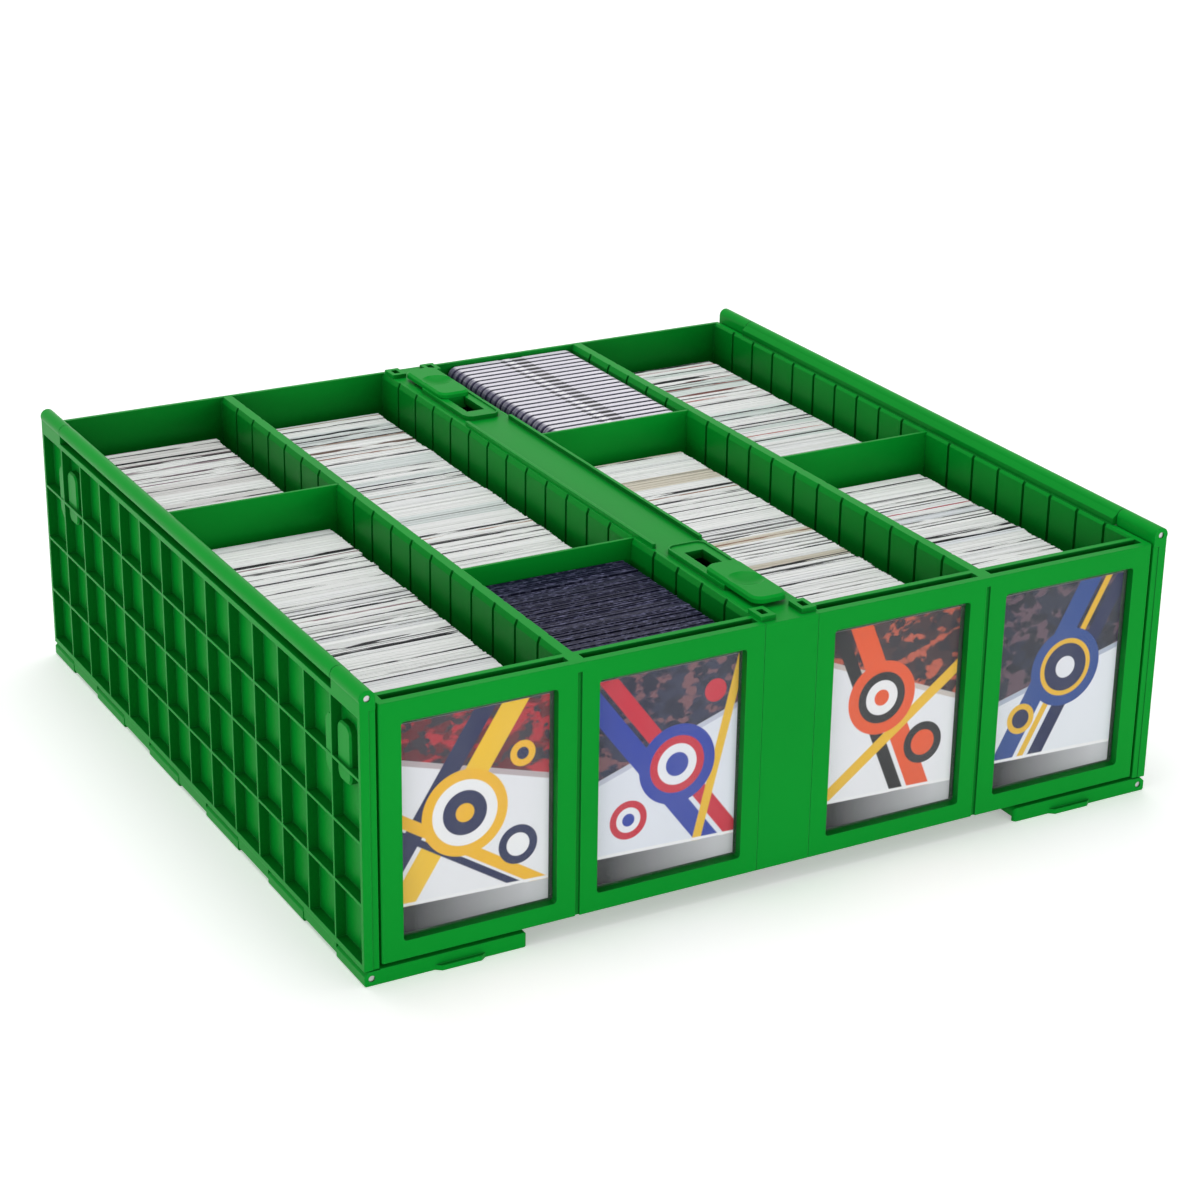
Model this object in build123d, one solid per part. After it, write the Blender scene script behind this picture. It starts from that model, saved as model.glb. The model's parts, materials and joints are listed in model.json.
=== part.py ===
from build123d import *
import os
from math import cos, radians, sin

# Sizes in millimetres. X runs across the card rows, Y from the front to the rear, Z up.
# The origin is on the table, under the middle of the box.

# How far joined features run into each other, and cutters past a face
overlap = 0.5

# Tray walls and rows
row_width = 79.0
wall_pad = 1.4
side_web = 1.6
middle_web = 3.7
inner_web = 1.2
tray_depth = 361.2
tray_height = 110.0
tray_floor = 2.8
front_plate = 3.5
plate_edge = 0.6
display_gap = 4.4
display_wall = 2.7
rear_wall = 2.0
pad_bevel_width = 1.1
pad_bevel_height = 2.4
outer_bevel_width = 0.9
outer_bevel_height = 1.2

# Slots for the row dividers
slot_count = 17
slot_pitch = 19.45
slot_width = 1.8
divider_thickness = 1.5
divider_clearance = 0.15
divider_slots = {"1": 6, "2": 12, "3": 5, "4": 9}   # slots behind each divider

# Display windows in the front plate
window_width = 66.7
window_height = 93.0
window_sill = 7.8
window_corner = 1.5
inner_window_shift = 0.65
groove_width = 2.0
groove_depth = 0.8
groove_drop = 4.0

# Centre spine with its latch pads and lid sockets
spine_bay = 22.9
spine_clearance = 0.1
spine_top = 2.2
spine_skirt = 1.4
spine_seam = 0.15
spine_ledge = 3.0
spine_rib = 1.6
spine_rib_depth = 25.0
spine_rib_count = 5
spine_rib_pitch = 30.0
flange_width = 1.6
flange_height = 2.0
flange_inside = 21.1
flange_length = 178.0
pad_width = 18.4
pad_height = 2.2
pad_rim = 0.8
pad_recess = 0.6
pad_corner = 4.5
pad_start = 38.0
pad_end = 87.0
latch_slot_width = 9.1
latch_slot_start = 46.0
socket_width = 7.0
socket_length = 10.0
socket_height = 2.0
socket_centre = 9.55
socket_setback = 3.0
socket_hole_width = 3.0
socket_hole_length = 5.0
socket_hole_depth = 3.0

# Latch sliders
slider_width = 16.5
slider_length = 42.0
slider_setback = 15.0
slider_thickness = 2.8
slider_corner = 5.0
slider_edge = 1.0
slider_lift = 0.15
slider_travel = 21.0
stem_width = 8.4
stem_length = 10.4
stem_clearance = 0.3
foot_width = 13.0
foot_thickness = 1.6
scoop_width = 15.0
scoop_depth = 2.0

# Hinges
pin_radius = 1.3
pin_clearance = 0.05
pin_recess = 0.5
hinge_out = 4.6
rim_clearance = 0.15
barrel_radius = 3.4
knuckle_reach = 3.1
knuckle_edge = 0.6
knuckle_bevel = 1.8
recessed_reach = 2.9
recessed_bevel = 1.7
end_knuckle = 26.0
knuckle_clearance = 0.4
panel_standoff = 5.6
shoulder_gap = 0.35
fairing_angle = 63.0
fold_standoff = 3.6
fold_knuckle = 32.0
fold_pitch = 68.8
fold_knuckle_count = 5

# Lids
pin_to_pin = 118.4
lid_smooth_side = 3.4
lid_skin = 2.0
lid_rib = 1.2
lid_border = 2.0
lid_top_border = 2.4
lid_columns = 14
outer_rows = 4
inner_rows = 2
meeting_gap = 0.6
lid_corner = 1.8
boss_height = 25.0
boss_level = 84.0
low_boss_width = 12.0
low_boss_height = 3.3
low_boss_corner = 4.0
low_boss_edge = 0.8
low_boss_offset = 9.0
tall_boss_width = 5.5
tall_boss_corner = 3.0
tall_boss_gap = 0.3
end_step = 0.3
end_step_width = 2.8
end_step_drop = 5.0
rest_rib = 2.0
rest_rib_count = 3
rest_rib_setback = 14.0
rest_rib_inset = 4.0

# Cut-outs of the inner lids round the spine
spine_relief = 14.5
flange_clearance = 0.2
notch_half_width = 9.7
notch_start = 13.6
notch_end = 88.0
lug_length = 20.0
lug_start = 16.0
lug_thickness = 1.3
lug_reach = 8.6
lug_web = 1.2
peg_width = 2.4
peg_length = 4.2
lip_width = 21.9
lip_height = 2.2
lip_reach = 1.8
lip_taper = 2.4
lip_inset = 27.0

# Cards and holders
card_width = 63.5
card_height = 88.9
card_thickness = 0.4
sleeve_width = 66.7
sleeve_height = 92.1
sleeve_thickness = 1.4
sleeve_wall = 0.35
sleeve_setback = 0.3
card_lift = 0.6
stack_shift = 2.0
stack_gap = 2.0
stack_rear_gap = 5.0
pack_depth = 16.0
pack_gap = 0.15
pack_wander = 0.5
pack_turn = 2.3
semi_rigid_width = 70.0
semi_rigid_height = 98.4
semi_rigid_gap = 0.3
holder_width = 70.5
holder_height = 105.4
holder_pitch = 5.35
holder_thickness = 4.9
holder_corner = 4.5
holder_side_gap = 1.0
holder_rear_gap = 0.8

# Places that follow from the sizes above
half_depth = tray_depth / 2
wall_inner = spine_bay / 2
inner_row = wall_inner + inner_web + wall_pad
inner_row_end = inner_row + row_width
outer_row = inner_row_end + 2 * wall_pad + middle_web
outer_row_end = outer_row + row_width
half_width = outer_row_end + wall_pad + side_web
row_front = -half_depth + front_plate + display_gap + display_wall
row_rear = half_depth - rear_wall
row_length = row_rear - row_front
row_mid = (row_front + row_rear) / 2
row_starts = {"1": -outer_row_end, "2": -inner_row_end, "3": inner_row, "4": outer_row}

rib_side = knuckle_reach
fold_axis_z = rib_side
tray_axis_z = fold_axis_z + pin_to_pin
rim = tray_axis_z - rib_side - rim_clearance
base = rim - tray_height
floor_top = base + tray_floor
axis_x = half_width + hinge_out
rest_gap = base - fold_axis_z - lid_smooth_side
latch_slot_end = latch_slot_start + stem_length + slider_travel + 2 * stem_clearance


def span(x, y, z):
    """A block between two limits on each axis."""
    sizes = [high - low for low, high in (x, y, z)]
    centre = [(low + high) / 2 for low, high in (x, y, z)]
    return Pos(*centre) * Box(*sizes)


def along_y(profile, y_low, y_high):
    """A profile drawn in X and Z, run from one Y to the other."""
    return extrude(Plane.XZ.offset(-y_high) * profile, amount=y_high - y_low, dir=(0, -1, 0))


def left_of(part):
    """The same piece on the left half of the box."""
    return mirror(part, about=Plane.YZ)


def slot_y(number_behind):
    """Y of a divider slot, counted from the rear."""
    return row_mid + slot_pitch * ((slot_count - 1) / 2 - number_behind)


def window_centre(start):
    """X of the middle of the window in front of a row on the right half."""
    shift = inner_window_shift if start == inner_row else 0
    return start + row_width / 2 + shift


def row_cuts(start):
    """Everything cut away for one row: cards, divider slots, display slot and window."""
    end, middle = start + row_width, start + row_width / 2
    slots = GridLocations(0, slot_pitch, 1, slot_count) * Rectangle(row_width + 2 * wall_pad, slot_width)
    plan = Rectangle(row_width, row_length) + slots
    cavity = extrude(Pos(middle, row_mid, floor_top) * plan, amount=rim - floor_top)
    by_lid = start == outer_row
    end_bevel_width = outer_bevel_width if by_lid else pad_bevel_width
    end_bevel_height = outer_bevel_height if by_lid else pad_bevel_height
    mouth = Polygon(
        (start - pad_bevel_width, rim),
        (start, rim - pad_bevel_height),
        (end, rim - end_bevel_height),
        (end + end_bevel_width, rim),
        align=None,
    )
    display_front = -half_depth + front_plate
    display = span(
        (start, end),
        (display_front, display_front + display_gap),
        (base + window_sill, rim),
    )
    opening = Pos(window_centre(start), base + window_sill + window_height / 2) * RectangleRounded(
        window_width, window_height, window_corner
    )
    window = along_y(opening, -half_depth, display_front)
    return [cavity, along_y(mouth, row_front, row_rear), display, window]


def hinge_barrel():
    """The long barrel that carries the outer lid, and the fairing that joins it to the side wall."""
    shoulder = axis_x - panel_standoff + shoulder_gap
    angle = radians(fairing_angle)
    fairing = Polygon(
        (shoulder, rim - overlap),
        (shoulder, tray_axis_z - overlap),
        (axis_x - barrel_radius * cos(angle), tray_axis_z + barrel_radius * sin(angle)),
        (axis_x, tray_axis_z - barrel_radius),
        (half_width - overlap, tray_axis_z - barrel_radius),
        align=None,
    )
    profile = Pos(axis_x, tray_axis_z) * Circle(barrel_radius) + fairing
    reach = half_depth - end_knuckle - knuckle_clearance
    return along_y(profile, -reach, reach)


def pin_bore(axis_z):
    profile = Pos(axis_x, axis_z) * Circle(pin_radius + pin_clearance)
    return along_y(profile, -half_depth - overlap, half_depth + overlap)


def tray_half():
    """The right half of the tray: two rows, floor, walls, front plate and hinge barrel."""
    block = span((wall_inner, half_width), (-half_depth, half_depth), (base, rim))
    front_corner = block.edges().filter_by(Axis.Z).group_by(Axis.Y)[0].sort_by(Axis.X)[-1]
    block = chamfer(front_corner, plate_edge)
    groove_x = (inner_row_end + outer_row) / 2
    groove = span(
        (groove_x - groove_width / 2, groove_x + groove_width / 2),
        (-half_depth, -half_depth + groove_depth),
        (base, rim - groove_drop),
    )
    front_rebate = span(
        (wall_inner, wall_inner + inner_web), (-half_depth, -half_depth + front_plate), (base, rim)
    )
    rear_rebate = span((wall_inner, wall_inner + inner_web), (row_rear, half_depth), (base, rim))
    cuts = row_cuts(inner_row) + row_cuts(outer_row) + [groove, front_rebate, rear_rebate]
    tray = block - cuts
    ledge = span(
        (wall_inner - spine_ledge, wall_inner + overlap),
        (-half_depth + front_plate + spine_clearance, row_rear - spine_clearance),
        (base, floor_top),
    )
    tray += [ledge, hinge_barrel()]
    first = folded(notch_half_width + lug_web) + rest_rib_inset
    step = (half_width - rest_rib - rest_rib_inset - first) / (rest_rib_count - 1)
    for n in range(rest_rib_count):
        x = first + n * step
        reach = half_depth - rest_rib_setback
        tray += span((x, x + rest_rib), (-reach, reach), (base - rest_gap, base + overlap))
    return tray - pin_bore(tray_axis_z)


def lid_grid(columns, rows, y_size, row_size, depth):
    """Blocks that leave a grid of ribs when they are cut from a lid."""
    y_pitch = (y_size + lid_rib) / columns
    row_pitch = (row_size + lid_rib) / rows
    cells = GridLocations(y_pitch, row_pitch, columns, rows) * Rectangle(y_pitch - lid_rib, row_pitch - lid_rib)
    return [extrude(cell, amount=depth) for cell in cells]


def low_boss():
    """A pad with rounded edges, inside a cell and below the level of the ribs."""
    outline = RectangleRounded(low_boss_width, boss_height, low_boss_corner)
    boss = extrude(Plane.YZ * outline, amount=lid_skin + low_boss_height)
    return chamfer(boss.faces().sort_by(Axis.X)[-1].edges(), low_boss_edge)


def tall_boss():
    """A block against a rib, almost level with it."""
    outline = Rectangle(tall_boss_width, boss_height, align=(Align.MIN, Align.CENTER))
    outline = chamfer(outline.vertices().group_by(Axis.X)[-1], tall_boss_corner)
    return extrude(Plane.YZ * outline, amount=lid_smooth_side + rib_side - tall_boss_gap)


def outer_lid():
    """The right outer lid, hanging beside the tray with its smooth side inwards."""
    inside = axis_x - lid_smooth_side
    outside = axis_x + rib_side
    top = tray_axis_z - panel_standoff
    bottom = fold_axis_z + fold_standoff
    panel = span((inside, outside), (-half_depth, half_depth), (bottom, top))
    low, high = bottom + lid_top_border, top - lid_top_border
    depth = outside - inside - lid_skin
    cells = lid_grid(lid_columns, outer_rows, tray_depth - 2 * lid_border, high - low, depth)
    panel -= [Pos(inside + lid_skin, 0, (low + high) / 2) * (Plane.YZ * cell) for cell in cells]

    first_rib = half_depth - lid_border - (tray_depth - 2 * lid_border + lid_rib) / lid_columns + lid_rib / 2
    for rib in (-first_rib, first_rib):
        panel += Pos(inside, rib - low_boss_offset, base + boss_level) * low_boss()
        panel += Pos(inside, rib, base + boss_level) * tall_boss()

    end_web = Polygon(
        (inside, top - overlap), (inside, tray_axis_z), (outside, tray_axis_z), (outside, top - overlap), align=None
    )
    end_profile = Pos(axis_x, tray_axis_z) * Circle(barrel_radius) + end_web
    for low_y, high_y in ((-half_depth, -half_depth + end_knuckle), (half_depth - end_knuckle, half_depth)):
        panel += along_y(end_profile, low_y, high_y)

    fold_in, fold_out = axis_x - recessed_reach, axis_x + recessed_reach
    fold_low = fold_axis_z - recessed_reach
    fold_profile = Polygon(
        (fold_in, bottom + overlap),
        (fold_out, bottom + overlap),
        (fold_out, fold_low + recessed_bevel),
        (fold_out - recessed_bevel, fold_low),
        (fold_in + recessed_bevel, fold_low),
        (fold_in, fold_low + recessed_bevel),
        align=None,
    )
    for y in fold_centres():
        panel += along_y(fold_profile, y - fold_knuckle / 2, y + fold_knuckle / 2)
    steps = [
        span((inside, inside + end_step_width), ends, (bottom, tray_axis_z - end_step_drop))
        for ends in both_ends(0, end_step)
    ]
    return panel - [pin_bore(tray_axis_z), pin_bore(fold_axis_z)] - steps


def fold_centres():
    """Y of the outer lid's own knuckles along the fold."""
    middle = (fold_knuckle_count - 1) / 2
    return [fold_pitch * (n - middle) for n in range(fold_knuckle_count)]


def inner_knuckles():
    """Y limits of the inner lid's knuckles, which fill the room between the outer lid's."""
    reach = fold_knuckle / 2 + knuckle_clearance
    lows = [-half_depth] + [y + reach for y in fold_centres()]
    highs = [y - reach for y in fold_centres()] + [half_depth]
    return zip(lows, highs)


def folded(from_middle):
    """X on a folded inner lid of what lies this far from the middle of the closed box."""
    return pin_to_pin + from_middle


def closed_level(above_rim):
    """Z on a folded inner lid of what lies this far above the rim of the closed box."""
    return above_rim - rim_clearance


def both_ends(start, end):
    """Y limits at the front and at the rear, from distances to the end faces."""
    return [(-half_depth + start, -half_depth + end), (half_depth - end, half_depth - start)]


def inner_lid():
    """The right inner lid, folded under the tray with its smooth side up."""
    free_end = folded(meeting_gap / 2)
    near_end = axis_x - fold_standoff
    smooth = fold_axis_z + lid_smooth_side
    skin = smooth - lid_skin
    panel = span((free_end, near_end), (-half_depth, half_depth), (0, smooth))
    corner = panel.edges().filter_by(Axis.Y).group_by(Axis.Z)[-1].sort_by(Axis.X)[0]
    panel = fillet([corner] + panel.edges().filter_by(Axis.Z).group_by(Axis.X)[0], lid_corner)
    low, high = free_end + lid_border, near_end - lid_border
    cells = lid_grid(inner_rows, lid_columns, high - low, tray_depth - 2 * lid_border, skin)
    relief = span(
        (free_end, folded(spine_relief)),
        (-half_depth + lid_border, half_depth - lid_border),
        (0, closed_level(flange_height + flange_clearance)),
    )
    notches = [
        span((free_end, folded(notch_half_width)), ends, (0, smooth)) for ends in both_ends(notch_start, notch_end)
    ]
    panel -= [Pos((low + high) / 2, 0, 0) * cell for cell in cells] + [relief] + notches

    for ends in both_ends(notch_start, notch_end):
        panel += span((folded(notch_half_width), folded(notch_half_width + lug_web)), ends, (0, skin + overlap))
    for ends in both_ends(lug_start, lug_start + lug_length):
        lug_tip = folded(notch_half_width - lug_reach)
        panel += span((lug_tip, folded(notch_half_width + overlap)), ends, (0, lug_thickness))
    peg_start = socket_setback + (socket_length - peg_length) / 2
    for ends in both_ends(peg_start, peg_start + peg_length):
        peg = (folded(socket_centre - peg_width / 2), folded(socket_centre + peg_width / 2))
        panel += span(peg, ends, (0, skin + overlap))
    lip_end, lip_face = axis_x - lip_inset, half_depth + lip_reach
    lip_plan = Polygon(
        (lip_end - lip_width, half_depth - overlap),
        (lip_end, half_depth - overlap),
        (lip_end, half_depth),
        (lip_end - lip_taper, lip_face),
        (lip_end - lip_width + lip_taper, lip_face),
        (lip_end - lip_width, half_depth),
        align=None,
    )
    lip = extrude(lip_plan, amount=lip_height)
    panel += [lip, mirror(lip, about=Plane.XZ)]

    outside, knuckle_top = axis_x + knuckle_reach, fold_axis_z + knuckle_reach
    profile = Polygon(
        (near_end - overlap, 0),
        (near_end - overlap, knuckle_top),
        (outside - knuckle_bevel, knuckle_top),
        (outside, knuckle_top - knuckle_bevel),
        (outside, knuckle_edge),
        (outside - knuckle_edge, 0),
        align=None,
    )
    for low_y, high_y in inner_knuckles():
        panel += along_y(profile, low_y, high_y)
    return panel - pin_bore(fold_axis_z)


def hinge_pin(axis_z):
    """A steel rod on the right half, a little short of both end faces."""
    profile = Pos(axis_x, axis_z) * Circle(pin_radius)
    return along_y(profile, -half_depth + pin_recess, half_depth - pin_recess)


def latch_pad(sign):
    """The raised pad that a latch slider runs on, with a thin rim round its three inner sides."""
    outer = half_depth - pad_start
    inner = half_depth - pad_end
    plan = Pos(0, sign * (outer + inner) / 2) * Rectangle(pad_width, outer - inner)
    track = Pos(0, sign * (outer + inner + pad_rim) / 2) * Rectangle(
        pad_width - 2 * pad_rim, outer - inner - pad_rim
    )
    towards_middle = Axis.Y if sign < 0 else -Axis.Y
    plan = fillet(plan.vertices().group_by(towards_middle)[-1], pad_corner)
    track = fillet(track.vertices().group_by(towards_middle)[-1], pad_corner - pad_rim)
    pad = extrude(Pos(0, 0, rim) * plan, amount=pad_height)
    return pad - extrude(Pos(0, 0, rim + pad_height - pad_recess) * track, amount=pad_recess)


def centre_spine():
    """The channel between the tray halves, with its end plates, latch pads and lid sockets."""
    side = wall_inner - spine_clearance
    plate = wall_inner + inner_web - spine_seam
    inside_front = -half_depth + front_plate
    spine = span((-side, side), (inside_front, row_rear), (rim - spine_top, rim))
    spine += span((-plate, plate), (-half_depth, inside_front), (base, rim))
    spine += span((-plate, plate), (row_rear, half_depth), (base, rim))
    flange_in = flange_inside / 2
    for sign in (-1, 1):
        skirt = sorted((sign * (side - spine_skirt), sign * side))
        spine += span(skirt, (inside_front, row_rear), (floor_top, rim))
        flange = sorted((sign * flange_in, sign * (flange_in + flange_width)))
        spine += span(flange, (-flange_length / 2, flange_length / 2), (rim, rim + flange_height))
        spine += latch_pad(sign)
    for n in range(spine_rib_count):
        y = spine_rib_pitch * (n - (spine_rib_count - 1) / 2)
        spine += span((-side, side), (y - spine_rib / 2, y + spine_rib / 2), (rim - spine_rib_depth, rim))

    for ends in both_ends(socket_setback, socket_setback + socket_length):
        for sign in (-1, 1):
            middle = sign * socket_centre
            spine += span(
                (middle - socket_width / 2, middle + socket_width / 2), ends, (rim, rim + socket_height)
            )
    hole_start = socket_setback + (socket_length - socket_hole_length) / 2
    for ends in both_ends(hole_start, hole_start + socket_hole_length):
        for sign in (-1, 1):
            middle = sign * socket_centre
            spine -= span(
                (middle - socket_hole_width / 2, middle + socket_hole_width / 2),
                ends,
                (rim + socket_height - socket_hole_depth, rim + socket_height),
            )
    for ends in both_ends(latch_slot_start, latch_slot_end):
        spine -= span(
            (-latch_slot_width / 2, latch_slot_width / 2), ends, (rim - spine_top, rim + pad_height)
        )
    return spine


def front_slider():
    """The front latch slider: a rounded thumb plate, its stem, and the foot that holds it in the slot."""
    bottom = rim + pad_height - pad_recess + slider_lift
    middle = -half_depth + slider_setback + slider_length / 2
    plan = Pos(0, middle, bottom) * RectangleRounded(slider_width, slider_length, slider_corner)
    plate = extrude(plan, amount=slider_thickness)
    plate = chamfer(plate.faces().sort_by(Axis.Z)[-1].edges(), slider_edge)
    ball = ((scoop_width / 2) ** 2 + scoop_depth**2) / (2 * scoop_depth)
    plate -= Pos(0, middle, bottom + slider_thickness - scoop_depth + ball) * Rot(90, 0, 0) * Sphere(ball)
    stem_start = -half_depth + latch_slot_start + stem_clearance
    stem_y = (stem_start, stem_start + stem_length)
    foot_top = rim - spine_top - slider_lift
    stem = span((-stem_width / 2, stem_width / 2), stem_y, (foot_top - foot_thickness, bottom + overlap))
    foot = span((-foot_width / 2, foot_width / 2), stem_y, (foot_top - foot_thickness, foot_top))
    return plate + stem + foot


def divider(row):
    """A plate that stands in a pair of slots, from the floor to just under the rim."""
    start = row_starts[row]
    hold = wall_pad - divider_clearance
    y = slot_y(divider_slots[row])
    return span(
        (start - hold, start + row_width + hold),
        (y - divider_thickness / 2, y + divider_thickness / 2),
        (floor_top, rim - divider_clearance),
    )


def display_middle(row):
    """X of the middle of a row's display window."""
    start = row_starts[row]
    return window_centre(start) if start > 0 else -window_centre(-start - row_width)


def display_sleeve(row):
    """A clear pocket, open at the top, that stands in the display slot."""
    x, front, bottom = display_middle(row), -half_depth + front_plate + sleeve_setback, base + window_sill
    pocket = span(
        (x - sleeve_width / 2, x + sleeve_width / 2),
        (front, front + sleeve_thickness),
        (bottom, bottom + sleeve_height),
    )
    inside = span(
        (x - sleeve_width / 2 + sleeve_wall, x + sleeve_width / 2 - sleeve_wall),
        (front + sleeve_wall, front + sleeve_thickness - sleeve_wall),
        (bottom + sleeve_wall, bottom + sleeve_height),
    )
    return pocket - inside


def display_card(row):
    """The card that shows through the window."""
    x = display_middle(row)
    y = -half_depth + front_plate + sleeve_setback + sleeve_thickness / 2
    bottom = base + window_sill + sleeve_wall + card_lift
    return span(
        (x - card_width / 2, x + card_width / 2),
        (y - card_thickness / 2, y + card_thickness / 2),
        (bottom, bottom + card_height),
    )


def compartment(row, place):
    """Y limits of the room for cards before or behind a row's divider."""
    y = slot_y(divider_slots[row])
    half = divider_thickness / 2
    return (y + half, row_rear) if place == "rear" else (row_front, y - half)


def card_stack(row, place, width=card_width, height=card_height, shift=stack_shift, rear_gap=stack_rear_gap):
    """Loose cards on edge, in packs that stand a little out of line."""
    low, high = compartment(row, place)
    low, high = low + stack_gap, high - rear_gap
    count = round((high - low) / pack_depth)
    pitch = (high - low) / count
    middle = row_starts[row] + row_width / 2 + shift
    packs = []
    for n in range(count):
        x = middle + pack_wander * sin(pack_turn * n + int(row))
        y = low + pitch * n
        packs.append(
            span((x - width / 2, x + width / 2), (y, y + pitch - pack_gap), (floor_top, floor_top + height))
        )
    return Compound(packs)


def holder_stack(row, place):
    """Rigid clear card holders on edge, with their two upper corners cut off."""
    low, high = compartment(row, place)
    count = int((high - low - stack_gap) / holder_pitch)
    x = row_starts[row] + row_width - holder_side_gap - holder_width / 2
    outline = Pos(x, floor_top + holder_height / 2) * Rectangle(holder_width, holder_height)
    outline = chamfer(outline.vertices().group_by(Axis.Y)[-1], holder_corner)
    first = high - holder_rear_gap - (count - 1) * holder_pitch - holder_thickness
    holders = []
    for n in range(count):
        y = first + n * holder_pitch
        holders.append(along_y(outline, y, y + holder_thickness))
    return Compound(holders)


pieces = {}
for side, place in (("right", lambda part: part), ("left", left_of)):
    pieces[side + "_tray"] = place(tray_half())
    pieces[side + "_tray_pin"] = place(hinge_pin(tray_axis_z))
    pieces[side + "_outer_lid"] = place(outer_lid())
    pieces[side + "_fold_pin"] = place(hinge_pin(fold_axis_z))
    pieces[side + "_inner_lid"] = place(inner_lid())
pieces["centre_spine"] = centre_spine()
pieces["front_latch_slider"] = front_slider()
pieces["rear_latch_slider"] = mirror(front_slider(), about=Plane.XZ)
for row in row_starts:
    pieces["divider_row_" + row] = divider(row)
    pieces["display_sleeve_" + row] = display_sleeve(row)
    pieces["display_card_" + row] = display_card(row)
    pieces["cards_row_" + row + "_front"] = card_stack(row, "front")
    pieces["cards_row_" + row + "_rear"] = card_stack(row, "rear")
pieces["cards_row_2_front"] = card_stack("2", "front", semi_rigid_width, semi_rigid_height, 0, semi_rigid_gap)
del pieces["cards_row_3_rear"]
pieces["holders_row_3_rear"] = holder_stack("3", "rear")

os.makedirs("parts", exist_ok=True)
for name, piece in pieces.items():
    export_step(piece, f"parts/{name}.step")
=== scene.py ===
import bpy
import bmesh
import json
import random
from mathutils import Matrix, Vector

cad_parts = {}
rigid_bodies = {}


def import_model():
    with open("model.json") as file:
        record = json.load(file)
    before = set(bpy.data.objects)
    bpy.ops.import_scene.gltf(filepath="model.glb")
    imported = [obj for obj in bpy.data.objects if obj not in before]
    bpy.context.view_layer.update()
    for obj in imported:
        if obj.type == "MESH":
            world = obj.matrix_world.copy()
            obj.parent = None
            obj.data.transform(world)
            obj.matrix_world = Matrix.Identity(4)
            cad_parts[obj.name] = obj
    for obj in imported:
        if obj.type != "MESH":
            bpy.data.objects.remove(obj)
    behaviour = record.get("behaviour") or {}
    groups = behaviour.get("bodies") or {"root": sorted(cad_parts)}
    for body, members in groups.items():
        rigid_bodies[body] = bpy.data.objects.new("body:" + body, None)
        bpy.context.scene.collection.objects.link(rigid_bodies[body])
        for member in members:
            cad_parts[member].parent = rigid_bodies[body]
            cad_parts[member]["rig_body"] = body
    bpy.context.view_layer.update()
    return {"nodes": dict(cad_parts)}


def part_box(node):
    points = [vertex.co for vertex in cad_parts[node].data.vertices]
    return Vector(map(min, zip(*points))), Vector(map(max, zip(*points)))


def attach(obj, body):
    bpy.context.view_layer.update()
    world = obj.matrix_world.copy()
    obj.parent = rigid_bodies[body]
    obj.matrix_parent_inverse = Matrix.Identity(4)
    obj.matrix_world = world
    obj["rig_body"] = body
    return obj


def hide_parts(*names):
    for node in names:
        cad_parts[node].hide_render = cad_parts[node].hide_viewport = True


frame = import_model()
nodes = frame["nodes"]
scene = bpy.context.scene
mm = 0.001
print("frame loaded")


# camera, floor and light

viewSettings = {
    "place": (-0.58295, -1.0685, 0.56335),
    "forward": (0.4498, 0.8072, -0.3823),
    "right": (0.8763, -0.4815, 0.0144),
    "lens": 86.4,
    "sensor": 36.0,
    "farthest": 50,
}


def makeCamera(s):
    data = bpy.data.cameras.new("photoCamera")
    data.lens = s["lens"]
    data.sensor_width = s["sensor"]
    data.clip_end = s["farthest"]
    forward = Vector(s["forward"]).normalized()
    up = Vector(s["right"]).cross(forward).normalized()
    right = forward.cross(up).normalized()
    turn = Matrix((right, up, -forward)).transposed().to_4x4()
    camera = bpy.data.objects.new("photoCamera", data)
    camera.matrix_world = Matrix.Translation(s["place"]) @ turn
    scene.collection.objects.link(camera)
    scene.camera = camera


studio = {
    "floorSize": 14.0,  # metres
    "floorColour": (0.93, 0.93, 0.93, 1),
    "floorRoughness": 0.9,
    "floorSpecular": 0.1,
    "floorGlow": 0.36,  # what the camera sees the floor give off near the box
    "farGlow": 0.8,
    "farFrom": 0.7,  # metres from the middle where the glow starts to rise
    "farTo": 2.4,
    "skyLight": 0.34,
    "lamps": {
        "topSoftbox": {
            "place": (0.1, 0.45, 2.3), "aim": (0, 0, 0.05), "size": (1.9, 1.9), "power": 33,
        },
        "leftSoftbox": {
            "place": (-2.4, -0.9, 0.38), "aim": (0, 0, 0.06), "size": (1.8, 0.6), "power": 19,
        },
        "frontSoftbox": {
            "place": (0.9, -2.5, 0.38), "aim": (0, 0, 0.06), "size": (1.8, 0.6), "power": 21,
        },
    },
}


def plainlySeen(tree, clamp=False):
    # 1 for what the camera sees, straight, mirrored or through clear plastic
    rays = tree.nodes.new("ShaderNodeLightPath")
    seen = addMath(tree, "ADD", rays.outputs["Is Camera Ray"], rays.outputs["Is Glossy Ray"])
    return addMath(tree, "ADD", seen, rays.outputs["Is Transmission Ray"], clamp=clamp)


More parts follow.
